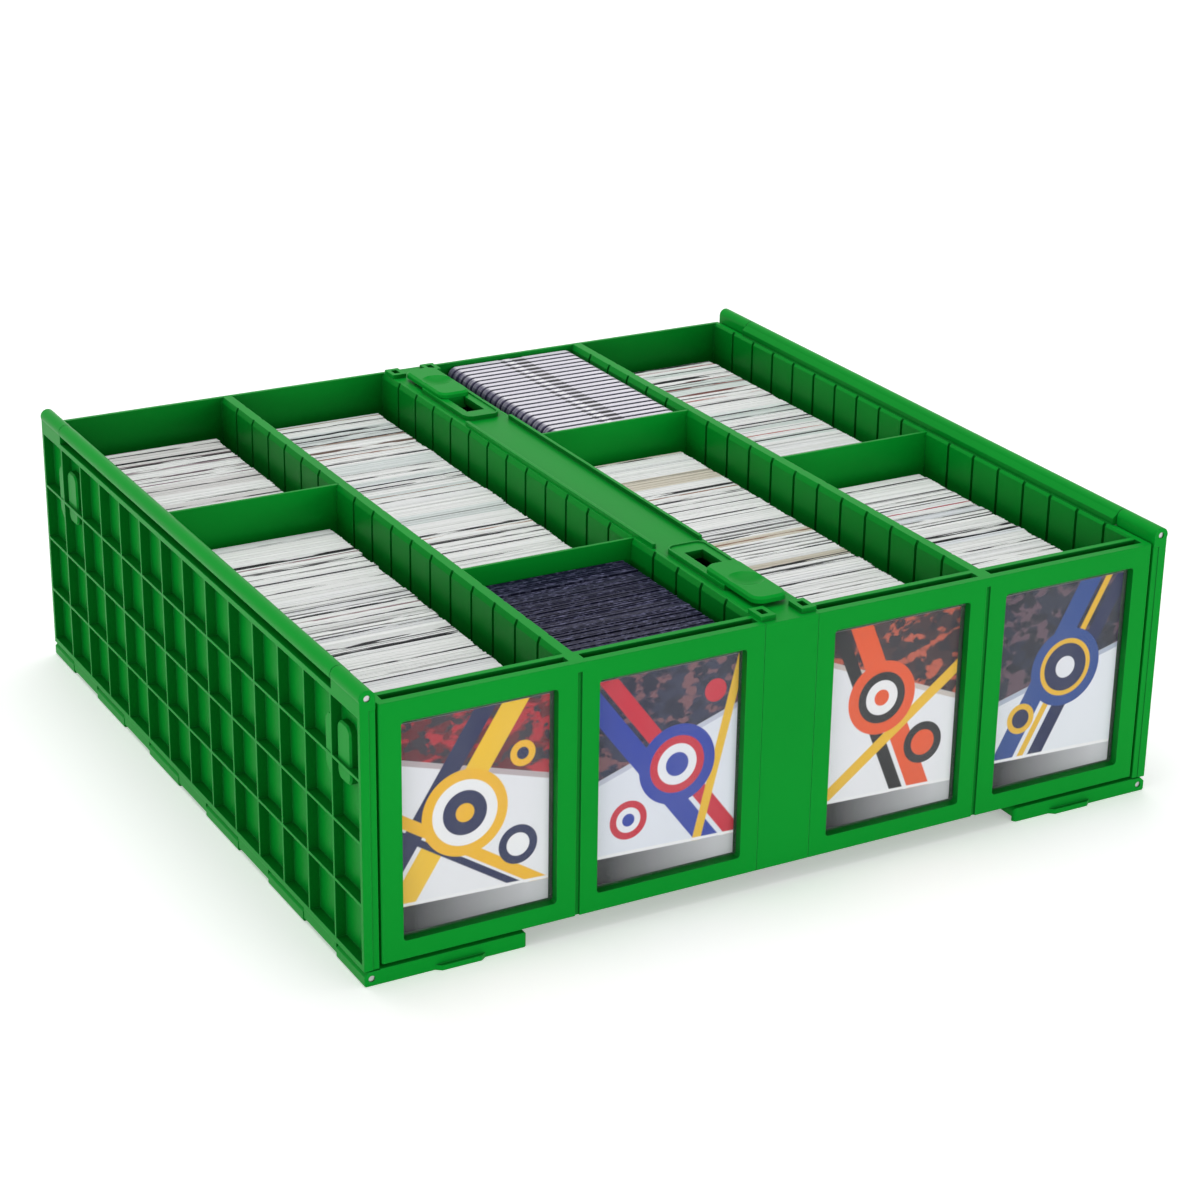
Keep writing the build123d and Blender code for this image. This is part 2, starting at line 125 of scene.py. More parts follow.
def makeStudio(s):
    mesh = bpy.data.meshes.new("studioFloor")
    bm = bmesh.new()
    bmesh.ops.create_grid(bm, x_segments=1, y_segments=1, size=s["floorSize"] / 2)
    bm.to_mesh(mesh)
    bm.free()
    floor = bpy.data.objects.new("studioFloor", mesh)
    scene.collection.objects.link(floor)
    paper = bpy.data.materials.new("studioPaper")
    paper.use_nodes = True
    tree = paper.node_tree
    shader = tree.nodes["Principled BSDF"]
    shader.inputs["Base Color"].default_value = s["floorColour"]
    shader.inputs["Roughness"].default_value = s["floorRoughness"]
    shader.inputs["Specular IOR Level"].default_value = s["floorSpecular"]
    glow = tree.nodes.new("ShaderNodeEmission")
    reach = tree.nodes.new("ShaderNodeVectorMath")
    reach.operation = "LENGTH"
    tree.links.new(tree.nodes.new("ShaderNodeTexCoord").outputs["Object"], reach.inputs[0])
    fromMiddle = reach.outputs["Value"]
    glowing = addRange(tree, fromMiddle, s["farFrom"], s["farTo"], s["floorGlow"], s["farGlow"])
    amount = addMath(tree, "MULTIPLY", plainlySeen(tree), glowing)
    tree.links.new(amount, glow.inputs["Strength"])
    both = tree.nodes.new("ShaderNodeAddShader")
    tree.links.new(shader.outputs[0], both.inputs[0])
    tree.links.new(glow.outputs[0], both.inputs[1])
    tree.links.new(both.outputs[0], tree.nodes["Material Output"].inputs["Surface"])
    mesh.materials.append(paper)

    world = bpy.data.worlds.new("studioWorld")
    world.use_nodes = True
    scene.world = world
    tree = world.node_tree
    sky = tree.nodes["Background"]
    sky.inputs["Color"].default_value = (1, 1, 1, 1)
    fromLight = addMath(tree, "MULTIPLY", plainlySeen(tree, clamp=True), 1 - s["skyLight"])
    tree.links.new(addMath(tree, "ADD", fromLight, s["skyLight"]), sky.inputs["Strength"])

    for name, lamp in s["lamps"].items():
        data = bpy.data.lights.new(name, "AREA")
        data.shape = "RECTANGLE"
        data.size, data.size_y = lamp["size"]
        data.energy = lamp["power"]
        light = bpy.data.objects.new(name, data)
        place = Vector(lamp["place"])
        aim = (Vector(lamp["aim"]) - place).to_track_quat("-Z", "Y")
        light.matrix_world = Matrix.Translation(place) @ aim.to_matrix().to_4x4()
        scene.collection.objects.link(light)
    scene.view_settings.view_transform = "Standard"


# helpers that add nodes to a shader tree

def addMath(tree, kind, first, second=None, third=None, clamp=False):
    node = tree.nodes.new("ShaderNodeMath")
    node.operation = kind
    node.use_clamp = clamp
    for socket, value in zip(node.inputs, (first, second, third)):
        if value is None:
            continue
        if isinstance(value, (int, float)):
            socket.default_value = value
        else:
            tree.links.new(value, socket)
    return node.outputs[0]


def addNoise(tree, coords, scale, detail=2.0, roughness=0.5):
    node = tree.nodes.new("ShaderNodeTexNoise")
    node.inputs["Scale"].default_value = scale
    node.inputs["Detail"].default_value = detail
    node.inputs["Roughness"].default_value = roughness
    tree.links.new(coords, node.inputs["Vector"])
    return node.outputs["Fac"]


def addRange(tree, value, fromLow, fromHigh, toLow, toHigh):
    node = tree.nodes.new("ShaderNodeMapRange")
    for socket, number in zip(list(node.inputs)[1:5], (fromLow, fromHigh, toLow, toHigh)):
        socket.default_value = number
    tree.links.new(value, node.inputs["Value"])
    return node.outputs["Result"]


def addMix(tree, amount, first, second, blend="MIX"):
    node = tree.nodes.new("ShaderNodeMix")
    node.data_type = "RGBA"
    node.blend_type = blend
    # sockets 0, 6 and 7 are the factor and the two colours
    for place, value in ((0, amount), (6, first), (7, second)):
        socket = node.inputs[place]
        if isinstance(value, (int, float, tuple)):
            socket.default_value = value
        else:
            tree.links.new(value, socket)
    return node.outputs[2]


def softStep(tree, value, edge, softness=0.35):
    node = tree.nodes.new("ShaderNodeMapRange")
    node.interpolation_type = "SMOOTHSTEP"
    node.inputs["From Min"].default_value = edge - softness
    node.inputs["From Max"].default_value = edge + softness
    tree.links.new(value, node.inputs["Value"])
    return node.outputs["Result"]


def between(tree, value, low, high, softness=0.35):
    above = softStep(tree, value, low, softness)
    below = softStep(tree, value, high, softness)
    return addMath(tree, "SUBTRACT", above, below)


def mappedCoords(tree, scale=(1, 1, 1), place=(0, 0, 0)):
    coords = tree.nodes.new("ShaderNodeTexCoord")
    mapping = tree.nodes.new("ShaderNodeMapping")
    mapping.inputs["Scale"].default_value = scale
    mapping.inputs["Location"].default_value = place
    tree.links.new(coords.outputs["Object"], mapping.inputs["Vector"])
    return mapping.outputs["Vector"]


def objectAxes(tree):
    split = tree.nodes.new("ShaderNodeSeparateXYZ")
    tree.links.new(tree.nodes.new("ShaderNodeTexCoord").outputs["Object"], split.inputs[0])
    return [split.outputs[axis] for axis in "XYZ"]


def newMaterial(name):
    material = bpy.data.materials.new(name)
    material.use_nodes = True
    return material, material.node_tree, material.node_tree.nodes["Principled BSDF"]


# soft edges, painted highlights along the edges, painted shade in the hollows, light patches and
# fine grain of the moulded pieces

surfaceSettings = {
    "edgeRadius": 0.45 * mm,
    "edgeSamples": 4,
    "grainScale": 1500,
    "grainDepth": 0.05 * mm,
    "patchScale": 9,
    "patchSwing": 0.05,
    "highlightBreakScale": 180,
    # hollowReach, hollowShade and hollowSamples set the painted shade in the hollows
    "hollowReach": 100 * mm,
    "hollowShade": 0.55,
    "hollowSamples": 8,
}


def mouldedSurface(s):
    group = bpy.data.node_groups.new("mouldedSurface", "ShaderNodeTree")
    face = group.interface
    for name, kind, value in (
        ("Colour", "NodeSocketColor", (0.5, 0.5, 0.5, 1)),
        ("Edge highlight colour", "NodeSocketColor", (1, 1, 1, 1)),
        ("Edge highlight", "NodeSocketFloat", 0.3),
        ("Roughness", "NodeSocketFloat", 0.4),
        ("Grain", "NodeSocketFloat", 0.1),
    ):
        socket = face.new_socket(name, in_out="INPUT", socket_type=kind)
        socket.default_value = value
    face.new_socket("Colour", in_out="OUTPUT", socket_type="NodeSocketColor")
    face.new_socket("Roughness", in_out="OUTPUT", socket_type="NodeSocketFloat")
    face.new_socket("Normal", in_out="OUTPUT", socket_type="NodeSocketVector")
    given = group.nodes.new("NodeGroupInput")
    result = group.nodes.new("NodeGroupOutput")
    coords = group.nodes.new("ShaderNodeTexCoord").outputs["Object"]

    soft = group.nodes.new("ShaderNodeBevel")
    soft.samples = s["edgeSamples"]
    soft.inputs["Radius"].default_value = s["edgeRadius"]
    geometry = group.nodes.new("ShaderNodeNewGeometry")
    dot = group.nodes.new("ShaderNodeVectorMath")
    dot.operation = "DOT_PRODUCT"
    group.links.new(soft.outputs["Normal"], dot.inputs[0])
    group.links.new(geometry.outputs["True Normal"], dot.inputs[1])
    # painted highlight: a paler colour is laid along the edges that the bevel node finds, broken
    # up by noise
    edge = addRange(group, dot.outputs["Value"], 0.995, 0.8, 0.0, 1.0)
    patches = addNoise(group, coords, s["patchScale"], 4)
    highlightBreaks = addRange(group, addNoise(group, coords, s["highlightBreakScale"], 3), 0.35, 0.7, 0.5, 1.0)
    brokenHighlight = addMath(group, "MULTIPLY", edge, highlightBreaks)
    paintedEdgeHighlight = addMath(group, "MULTIPLY", brokenHighlight, given.outputs["Edge highlight"])

    # painted shade: the colour is darkened in hollows, where the occlusion node finds other parts
    # of the same piece close by
    hollow = group.nodes.new("ShaderNodeAmbientOcclusion")
    hollow.samples = s["hollowSamples"]
    hollow.only_local = True
    hollow.inputs["Distance"].default_value = s["hollowReach"]
    paintedHollowShade = addRange(group, hollow.outputs["AO"], 0.5, 0.97, s["hollowShade"], 1.0)
    swing = s["patchSwing"]
    uneven = addRange(group, patches, 0.3, 0.7, 1 - swing, 1 + swing)
    hollowShadeAndTone = addMath(group, "MULTIPLY", paintedHollowShade, uneven)
    shade = group.nodes.new("ShaderNodeHueSaturation")
    group.links.new(given.outputs["Colour"], shade.inputs["Color"])
    group.links.new(hollowShadeAndTone, shade.inputs["Value"])
    colour = addMix(group, paintedEdgeHighlight, shade.outputs["Color"], given.outputs["Edge highlight colour"])
    group.links.new(colour, result.inputs["Colour"])

    duller = addRange(group, patches, 0.3, 0.7, -swing, swing)
    rough = addMath(group, "ADD", duller, given.outputs["Roughness"])
    group.links.new(rough, result.inputs["Roughness"])

    bump = group.nodes.new("ShaderNodeBump")
    bump.inputs["Distance"].default_value = s["grainDepth"]
    group.links.new(given.outputs["Grain"], bump.inputs["Strength"])
    group.links.new(addNoise(group, coords, s["grainScale"], 2), bump.inputs["Height"])
    group.links.new(soft.outputs["Normal"], bump.inputs["Normal"])
    group.links.new(bump.outputs["Normal"], result.inputs["Normal"])
    return group


def mouldedMaterial(name, group, s):
    material, tree, shader = newMaterial(name)
    surface = tree.nodes.new("ShaderNodeGroup")
    surface.node_tree = group
    surface.inputs["Colour"].default_value = s["colour"]
    surface.inputs["Edge highlight colour"].default_value = s["edgeHighlightColour"]
    surface.inputs["Edge highlight"].default_value = s["edgeHighlight"]
    surface.inputs["Roughness"].default_value = s["roughness"]
    surface.inputs["Grain"].default_value = s["grain"]
    tree.links.new(surface.outputs["Colour"], shader.inputs["Base Color"])
    tree.links.new(surface.outputs["Roughness"], shader.inputs["Roughness"])
    tree.links.new(surface.outputs["Normal"], shader.inputs["Normal"])
    shader.inputs["Specular IOR Level"].default_value = s["specular"]
    return material


greenPlastic = {
    "colour": (0.0015, 0.305, 0.026, 1),
    # the paler green of the painted highlight along the edges
    "edgeHighlightColour": (0.05, 0.42, 0.12, 1),
    "edgeHighlight": 0.35,
    "roughness": 0.33,
    "grain": 0.25,
    "specular": 0.05,
}

steelRod = {
    "colour": (0.56, 0.56, 0.57, 1),
    "darker": (0.448, 0.448, 0.456, 1),
    "roughness": 0.34,
    "lineStretch": (900, 40, 900),
    "lineDepth": 0.02 * mm,
    "lineStrength": 0.3,
}


def steelMaterial(s):
    material, tree, shader = newMaterial("hingeSteel")
    lines = addNoise(tree, mappedCoords(tree, s["lineStretch"]), 1.0, 3)
    shader.inputs["Metallic"].default_value = 1
    rough = addRange(tree, lines, 0.3, 0.7, s["roughness"] - 0.08, s["roughness"] + 0.12)
    tree.links.new(rough, shader.inputs["Roughness"])
    tree.links.new(addMix(tree, lines, s["darker"], s["colour"]), shader.inputs["Base Color"])
    bump = tree.nodes.new("ShaderNodeBump")
    bump.inputs["Distance"].default_value = s["lineDepth"]
    bump.inputs["Strength"].default_value = s["lineStrength"]
    tree.links.new(lines, bump.inputs["Height"])
    tree.links.new(bump.outputs["Normal"], shader.inputs["Normal"])
    return material


# loose cards on edge

cardStock = {
    "pitch": 0.40 * mm,
    "thickness": 0.38 * mm,
    "width": 63.5 * mm,
    "height": 88.9 * mm,
    "sideJitter": 0.5 * mm,
    "topJitter": 0.3 * mm,
    "packStep": 0.5 * mm,
    "packCards": (8, 34),
    "linePitch": 1.35 * mm,
    "batchPitch": 6.1 * mm,
    "seedStep": 40,
    "paper": (0.97, 0.97, 0.97),
    "shadow": (0.02, 0.02, 0.024),
    "endSkin": 0.06 * mm,
    "endRim": 3.2 * mm,
    "endLine": 0.9 * mm,
    "endFade": 0.02 * mm,
    "endTint": (0.45, 0.40),  # share of the paper and of the stack's warm colour
    "breakStretch": (38, 700, 12),
    "breakRange": (0.41, 0.47),
    "cardTones": ((0.0, (0.5, 0.5, 0.51)), (0.03, (0.93, 0.93, 0.93)), (0.2, (1.0, 1.0, 1.0))),
    "cleanBatch": (1.0, 1.0, 1.0),
    "coolBatch": (0.97, 0.97, 0.98),
    "specular": 0.2,
}

stackLooks = {
    "cards_row_1_rear": {"warm": (0.40, 0.30, 0.34), "batch": (0.86, 0.84, 0.84), "seed": 11},
    "cards_row_1_front": {"warm": (0.34, 0.22, 0.24), "batch": (0.88, 0.88, 0.90), "seed": 12},
    "cards_row_2_rear": {"warm": (0.46, 0.30, 0.24), "batch": (0.84, 0.88, 0.88), "seed": 13},
    "cards_row_3_front": {"warm": (0.42, 0.26, 0.20), "batch": (0.80, 0.74, 0.64), "seed": 14},
    "cards_row_4_rear": {"warm": (0.50, 0.16, 0.14), "batch": (0.82, 0.88, 0.86), "seed": 15},
    "cards_row_4_front": {"warm": (0.46, 0.12, 0.14), "batch": (0.86, 0.88, 0.92), "seed": 16},
}


def finishMesh(name, bm, material):
    mesh = bpy.data.meshes.new(name)
    bm.to_mesh(mesh)
    bm.free()
    mesh.materials.append(material)
    piece = bpy.data.objects.new(name, mesh)
    scene.collection.objects.link(piece)
    return piece


def diceFor(tree, place, pitch, seed):
    number = addMath(tree, "FLOOR", addMath(tree, "MULTIPLY", place, 1 / pitch))
    dice = tree.nodes.new("ShaderNodeTexWhiteNoise")
    dice.noise_dimensions = "1D"
    tree.links.new(addMath(tree, "ADD", number, seed + 0.5), dice.inputs["W"])
    return dice.outputs["Value"]


def stepRamp(tree, value, steps):
    ramp = tree.nodes.new("ShaderNodeValToRGB")
    ramp.color_ramp.interpolation = "CONSTANT"
    ramp.color_ramp.elements[0].color = steps[0][1] + (1,)
    ramp.color_ramp.elements[1].position = steps[1][0]
    ramp.color_ramp.elements[1].color = steps[1][1] + (1,)
    for place, colour in steps[2:]:
        ramp.color_ramp.elements.new(place).color = colour + (1,)
    tree.links.new(value, ramp.inputs["Fac"])
    return ramp.outputs["Color"]


def endCardFace(tree, x, z, middle, bottom, looks, s):
    # the broad face of the first and the last card: a plain tinted field inside a white rim
    aside = addMath(tree, "ABSOLUTE", addMath(tree, "SUBTRACT", x, middle))
    above = addMath(tree, "ABSOLUTE", addMath(tree, "SUBTRACT", z, bottom + s["height"] / 2))
    aside = addMath(tree, "SUBTRACT", aside, s["width"] / 2)
    above = addMath(tree, "SUBTRACT", above, s["height"] / 2)
    fromEdge = addMath(tree, "MAXIMUM", aside, above)
    pale, warm = s["endTint"]
    tint = tuple(pale * a + warm * b for a, b in zip(s["paper"], looks["warm"])) + (1,)
    rim = softStep(tree, fromEdge, -s["endRim"], 0.1 * mm)
    lineEdge = -s["endRim"] - s["endLine"]
    line = between(tree, fromEdge, lineEdge - s["endLine"], lineEdge, 0.1 * mm)
    paper = s["paper"] + (1,)
    return addMix(tree, line, addMix(tree, rim, tint, paper), paper)


def cardEdgeMaterial(name, looks, s, low, high):
    material, tree, shader = newMaterial(name)
    x, y, z = objectAxes(tree)
    paper, warm = s["paper"], looks["warm"]
    line = diceFor(tree, y, s["linePitch"], looks["seed"])
    # painted shade between the cards: the darkest step is painted shadow, the next a shaded copy
    # of the stack's warm colour, then the warm colour that some cards have, then two shaded greys
    # of the paper
    steps = (
        (0.0, s["shadow"]),
        (0.11, tuple(0.4 * c for c in warm)),
        (0.13, warm),
        (0.15, tuple(0.2 * c for c in paper)),
        (0.18, tuple(0.6 * c for c in paper)),
        (0.21, paper),
    )
    lines = stepRamp(tree, line, steps)
    card = diceFor(tree, y, s["pitch"], looks["seed"] + s["seedStep"])
    fine = stepRamp(tree, card, s["cardTones"])
    batch = diceFor(tree, y, s["batchPitch"], looks["seed"] + 2 * s["seedStep"])
    batches = ((0.0, looks["batch"]), (0.2, s["cleanBatch"]), (0.9, s["coolBatch"]))
    tint = stepRamp(tree, batch, batches)
    # breaks set where along the cards the lines of painted shade show
    breaks = addNoise(tree, mappedCoords(tree, s["breakStretch"]), 1.0, 2)
    seen = addRange(tree, breaks, *s["breakRange"], 0.0, 1.0)
    colour = addMix(tree, seen, paper + (1,), lines)
    colour = addMix(tree, 1.0, colour, fine, "MULTIPLY")
    colour = addMix(tree, 1.0, colour, tint, "MULTIPLY")
    inner = between(tree, y, low.y + s["endSkin"], high.y - s["endSkin"], s["endFade"])
    face = endCardFace(tree, x, z, (low.x + high.x) / 2, low.z, looks, s)
    colour = addMix(tree, inner, face, colour)
    tree.links.new(colour, shader.inputs["Base Color"])
    tree.links.new(addRange(tree, breaks, 0.3, 0.7, 0.45, 0.65), shader.inputs["Roughness"])
    shader.inputs["Specular IOR Level"].default_value = s["specular"]
    return material


def addCard(bm, x, y, bottom, size):
    centre = Matrix.Translation((x, y, bottom + size[2] / 2))
    bmesh.ops.create_cube(bm, size=1, matrix=centre @ Matrix.Diagonal(size + (1,)))


def looseCards(node, looks, s):
    low, high = (Vector(corner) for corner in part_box(node))
    dice = random.Random(looks["seed"])
    bm = bmesh.new()
    middle = (low.x + high.x) / 2
    packStep, packEnd, drop = 0.0, 0, 0.0
    count = int((high.y - low.y) / s["pitch"])
    for n in range(count):
        if n >= packEnd:
            packStep = dice.uniform(-1, 1) * s["packStep"]
            drop = dice.uniform(0, 1) ** 2 * s["topJitter"]
            packEnd = n + dice.randint(*s["packCards"])
        y = low.y + (n + 0.5) * s["pitch"]
        x = middle + packStep + dice.uniform(-1, 1) ** 3 * s["sideJitter"]
        tall = s["height"] - drop - dice.uniform(0, 1) ** 3 * s["topJitter"]
        addCard(bm, x, y, low.z, (s["width"], s["thickness"], tall))
    high.y = low.y + (count - 0.5) * s["pitch"] + s["thickness"] / 2
    paper = cardEdgeMaterial(node + "_paper", looks, s, low, high)
    piece = finishMesh("looseCards" + node[5:], bm, paper)
    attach(piece, nodes[node]["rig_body"])
    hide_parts(node)


# cards in dark sleeves

darkSleeves = {
    "pitch": 0.86 * mm,
    "thickness": 0.74 * mm,
    "topJitter": 0.5 * mm,
    "sideJitter": 0.3 * mm,
    "gapEvery": 31,
    "gapDrop": 1.2 * mm,
    "colour": (0.009, 0.009, 0.032, 1),
    # the colour of the painted highlight spots
    "sheen": (0.14, 0.14, 0.25, 1),
    "glintScatter": (420, 900, 60),
    "rows": (14, 900, 10),
    "specular": 0.12,
    "seed": 21,
}


def darkSleeveMaterial(s):
    material, tree, shader = newMaterial("darkSleeve")
    glintScatter = addNoise(tree, mappedCoords(tree, s["glintScatter"]), 1.0, 2)
    rows = addNoise(tree, mappedCoords(tree, s["rows"]), 1.0, 2)
    # painted highlight: pale blue-grey spots mixed into the navy where the scatter noise is high,
    # stronger along the rows
    spots = addRange(tree, glintScatter, 0.50, 0.68, 0, 1)
    glint = addMath(tree, "MULTIPLY", spots, addRange(tree, rows, 0.35, 0.6, 0.1, 1))
    tree.links.new(addMix(tree, glint, s["colour"], s["sheen"]), shader.inputs["Base Color"])
    tree.links.new(addRange(tree, rows, 0.3, 0.7, 0.35, 0.55), shader.inputs["Roughness"])
    shader.inputs["Specular IOR Level"].default_value = s["specular"]
    return material


def sleevedCards(node, s):
    low, high = (Vector(corner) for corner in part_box(node))
    dice = random.Random(s["seed"])
    width = high.x - low.x - 2 * s["sideJitter"]
    height = high.z - low.z - s["topJitter"]
    bm = bmesh.new()
    for n in range(int((high.y - low.y) / s["pitch"])):
        y = low.y + (n + 0.5) * s["pitch"]
        x = (low.x + high.x) / 2 + dice.uniform(-1, 1) * s["sideJitter"]
        drop = s["gapDrop"] if n % s["gapEvery"] == s["gapEvery"] - 1 else 0
        tall = height + dice.uniform(0, 1) * s["topJitter"] - drop
        addCard(bm, x, y, low.z, (width, s["thickness"], tall))
    piece = finishMesh("darkSleevedCards", bm, darkSleeveMaterial(s))
    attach(piece, nodes[node]["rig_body"])
    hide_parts(node)


# rigid clear card holders

rigidHolders = {
    "pitch": 5.35 * mm,
    "thickness": 4.75 * mm,
    "corner": 4.5 * mm,
    "cornerSteps": 6,
    "edgeRound": 0.7 * mm,
    "edgeSteps": 2,
    "shell": (0.88, 0.86, 0.94, 1),
    "streak": (0.62, 0.59, 0.72, 1),
    # the dark colour of the painted shade in the slot along each top and in the gaps between the
    # holders
    "slotAndGapShade": (0.018, 0.015, 0.040, 1),
    # the dark colour of the painted shade on the holders' left end and lower faces
    "side": (0.055, 0.048, 0.12, 1),
    # the near-black colour of the painted shade in the recesses on the tops
    "recessShade": (0.008, 0.007, 0.014, 1),
    "magnet": (0.97, 0.97, 0.97, 1),
    "sideReach": 3.2 * mm,
    # marks of painted shade on the top edges: place from the middle, half the width
    "recessMarks": ((2.9 * mm, 3.5 * mm), (-5.8 * mm, 1.2 * mm)),
    "magnetPlace": -2.6 * mm,
    "magnetHalf": 1.0 * mm,
    "recessDepth": 1.4 * mm,
    "endDepth": 3.5 * mm,
    "sideFade": 1.2 * mm,
    "streaks": (25, 700, 40),
    # bands in shares of the pitch, counted from the rear
    "halfLine": (0.40, 0.46),
    "halfLineShade": 0.35,
    "openBand": (0.10, 0.74),
    "recessBand": (0.26, 0.60),
    "magnetBand": (0.24, 0.62),
    "specular": 0.3,
}


def holderMaterial(low, high, s):
    material, tree, shader = newMaterial("holderPlastic")
    x, y, z = objectAxes(tree)
    fromRear = addMath(tree, "MULTIPLY", addMath(tree, "SUBTRACT", high.y, y), 1 / s["pitch"])
    band = addMath(tree, "FRACT", fromRear)
    streaks = addNoise(tree, mappedCoords(tree, s["streaks"]), 1.0, 3)
    colour = addMix(tree, addRange(tree, streaks, 0.40, 0.80, 0, 0.8), s["shell"], s["streak"])
    # painted shade: a faint dark line along the middle of each top, at the slot, and dark bands in
    # the gaps between the holders
    halfLine = between(tree, band, *s["halfLine"], 0.02)
    halfLine = addMath(tree, "MULTIPLY", halfLine, s["halfLineShade"])
    colour = addMix(tree, halfLine, colour, s["slotAndGapShade"])
    rims = addMath(tree, "SUBTRACT", 1.0, between(tree, band, *s["openBand"], 0.03))
    colour = addMix(tree, rims, colour, s["slotAndGapShade"])

    # painted shade: the left end of the holders and everything more than endDepth below their tops
    # take the dark side colour
    fromLeft = addMath(tree, "SUBTRACT", x, low.x)
    side = addMath(tree, "SUBTRACT", 1.0, softStep(tree, fromLeft, s["sideReach"], s["sideFade"]))
    fromTop = addMath(tree, "SUBTRACT", high.z, z)
    shadeBelowTop = softStep(tree, fromTop, s["endDepth"], s["sideFade"])
    side = addMath(tree, "MAXIMUM", side, shadeBelowTop)
    side = addMath(tree, "MULTIPLY", side, addRange(tree, streaks, 0.3, 0.7, 0.7, 1.0))
    colour = addMix(tree, side, colour, s["side"])

    fromMiddle = addMath(tree, "SUBTRACT", x, (low.x + high.x) / 2)
    top = addMath(tree, "SUBTRACT", 1.0, softStep(tree, fromTop, s["recessDepth"], 0.1 * mm))
    inSeam = addMath(tree, "SUBTRACT", 1.0, between(tree, band, *s["recessBand"], 0.03))
    inSeam = addMath(tree, "MULTIPLY", inSeam, top)
    # painted shade: near-black marks on the tops where the holders have recesses
    for place, half in s["recessMarks"]:
        recessShade = between(tree, fromMiddle, place - half, place + half, 0.5 * mm)
        recessShade = addMath(tree, "MULTIPLY", recessShade, inSeam)
        recessShade = addMath(tree, "MULTIPLY", recessShade, addRange(tree, streaks, 0.35, 0.5, 0.75, 1.0))
        colour = addMix(tree, recessShade, colour, s["recessShade"])
    ends = (s["magnetPlace"] - s["magnetHalf"], s["magnetPlace"] + s["magnetHalf"])
    magnet = addMath(tree, "MULTIPLY", between(tree, fromMiddle, *ends, 0.3 * mm), top)
    magnet = addMath(tree, "MULTIPLY", magnet, between(tree, band, *s["magnetBand"], 0.04))
    colour = addMix(tree, magnet, colour, s["magnet"])
    tree.links.new(colour, shader.inputs["Base Color"])
    tree.links.new(addRange(tree, streaks, 0.3, 0.7, 0.15, 0.32), shader.inputs["Roughness"])
    shader.inputs["Specular IOR Level"].default_value = s["specular"]
    return material


def holders(node, s):
    low, high = (Vector(corner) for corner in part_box(node))
    bm = bmesh.new()
    count = round((high.y - low.y + s["pitch"] - s["thickness"]) / s["pitch"])
    size = Matrix.Diagonal((high.x - low.x, s["thickness"], high.z - low.z, 1))
    x, z = (low.x + high.x) / 2, (low.z + high.z) / 2
    for n in range(count):
        y = high.y - (count - 1 - n) * s["pitch"] - s["thickness"] / 2
        made = bmesh.ops.create_cube(bm, size=1, matrix=Matrix.Translation((x, y, z)) @ size)
        edges = dict.fromkeys(e for v in made["verts"] for e in v.link_edges)
        corners = [e for e in edges
                   if abs(e.verts[0].co.y - e.verts[1].co.y) > s["thickness"] / 2]
        done = bmesh.ops.bevel(bm, geom=corners, offset=s["corner"], segments=s["cornerSteps"],
                               profile=0.5, affect="EDGES", material=-1)
        # the outlines of the two broad faces, which now have round corners
        near = dict.fromkeys(f for side in done["faces"] for e in side.edges for f in e.link_faces)
        rims = dict.fromkeys(e for f in near if abs(f.normal.y) > 0.9 for e in f.edges)
        bmesh.ops.bevel(bm, geom=list(rims), offset=s["edgeRound"], segments=s["edgeSteps"],
                        profile=0.5, affect="EDGES", material=-1)
    piece = finishMesh("rigidHolders", bm, holderMaterial(low, high, s))
    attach(piece, nodes[node]["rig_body"])
    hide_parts(node)


# display cards in clear sleeves

def rgb(*levels):
    # a colour as picked on screen, 0 to 255, for a node socket
    parts = [level / 255 for level in levels]
    return tuple(((c + 0.055) / 1.055) ** 2.4 if c > 0.04 else c / 12.92 for c in parts) + (1,)


# lengths on the print are in mm, counted from the lower left corner
cardFace = {
    "height": 88.9,
    "stripHeight": 11.5,
    "stripLean": 0.04,
    "lineWidth": 1.3,
    "coat": 0.08,
    "roughness": 0.34,
    "specular": 0.15,
    "backPaper": rgb(226, 227, 231),
    "backFade": 0.02 * mm,
    "fieldShade": rgb(150, 160, 190),
    "rimWhite": rgb(248, 248, 250),
    "stripGreys": (rgb(202, 203, 207), rgb(34, 34, 38)),
    "stripFade": (55, 4),
    "grit": (0.2, 0.2, 0.22, 1),
    "gritStretch": (1400, 1400, 1400),
    "spotStretch": (110, 900, 160),
    "speckStretch": (150, 900, 210),
    "railWidth": 2.2,
}

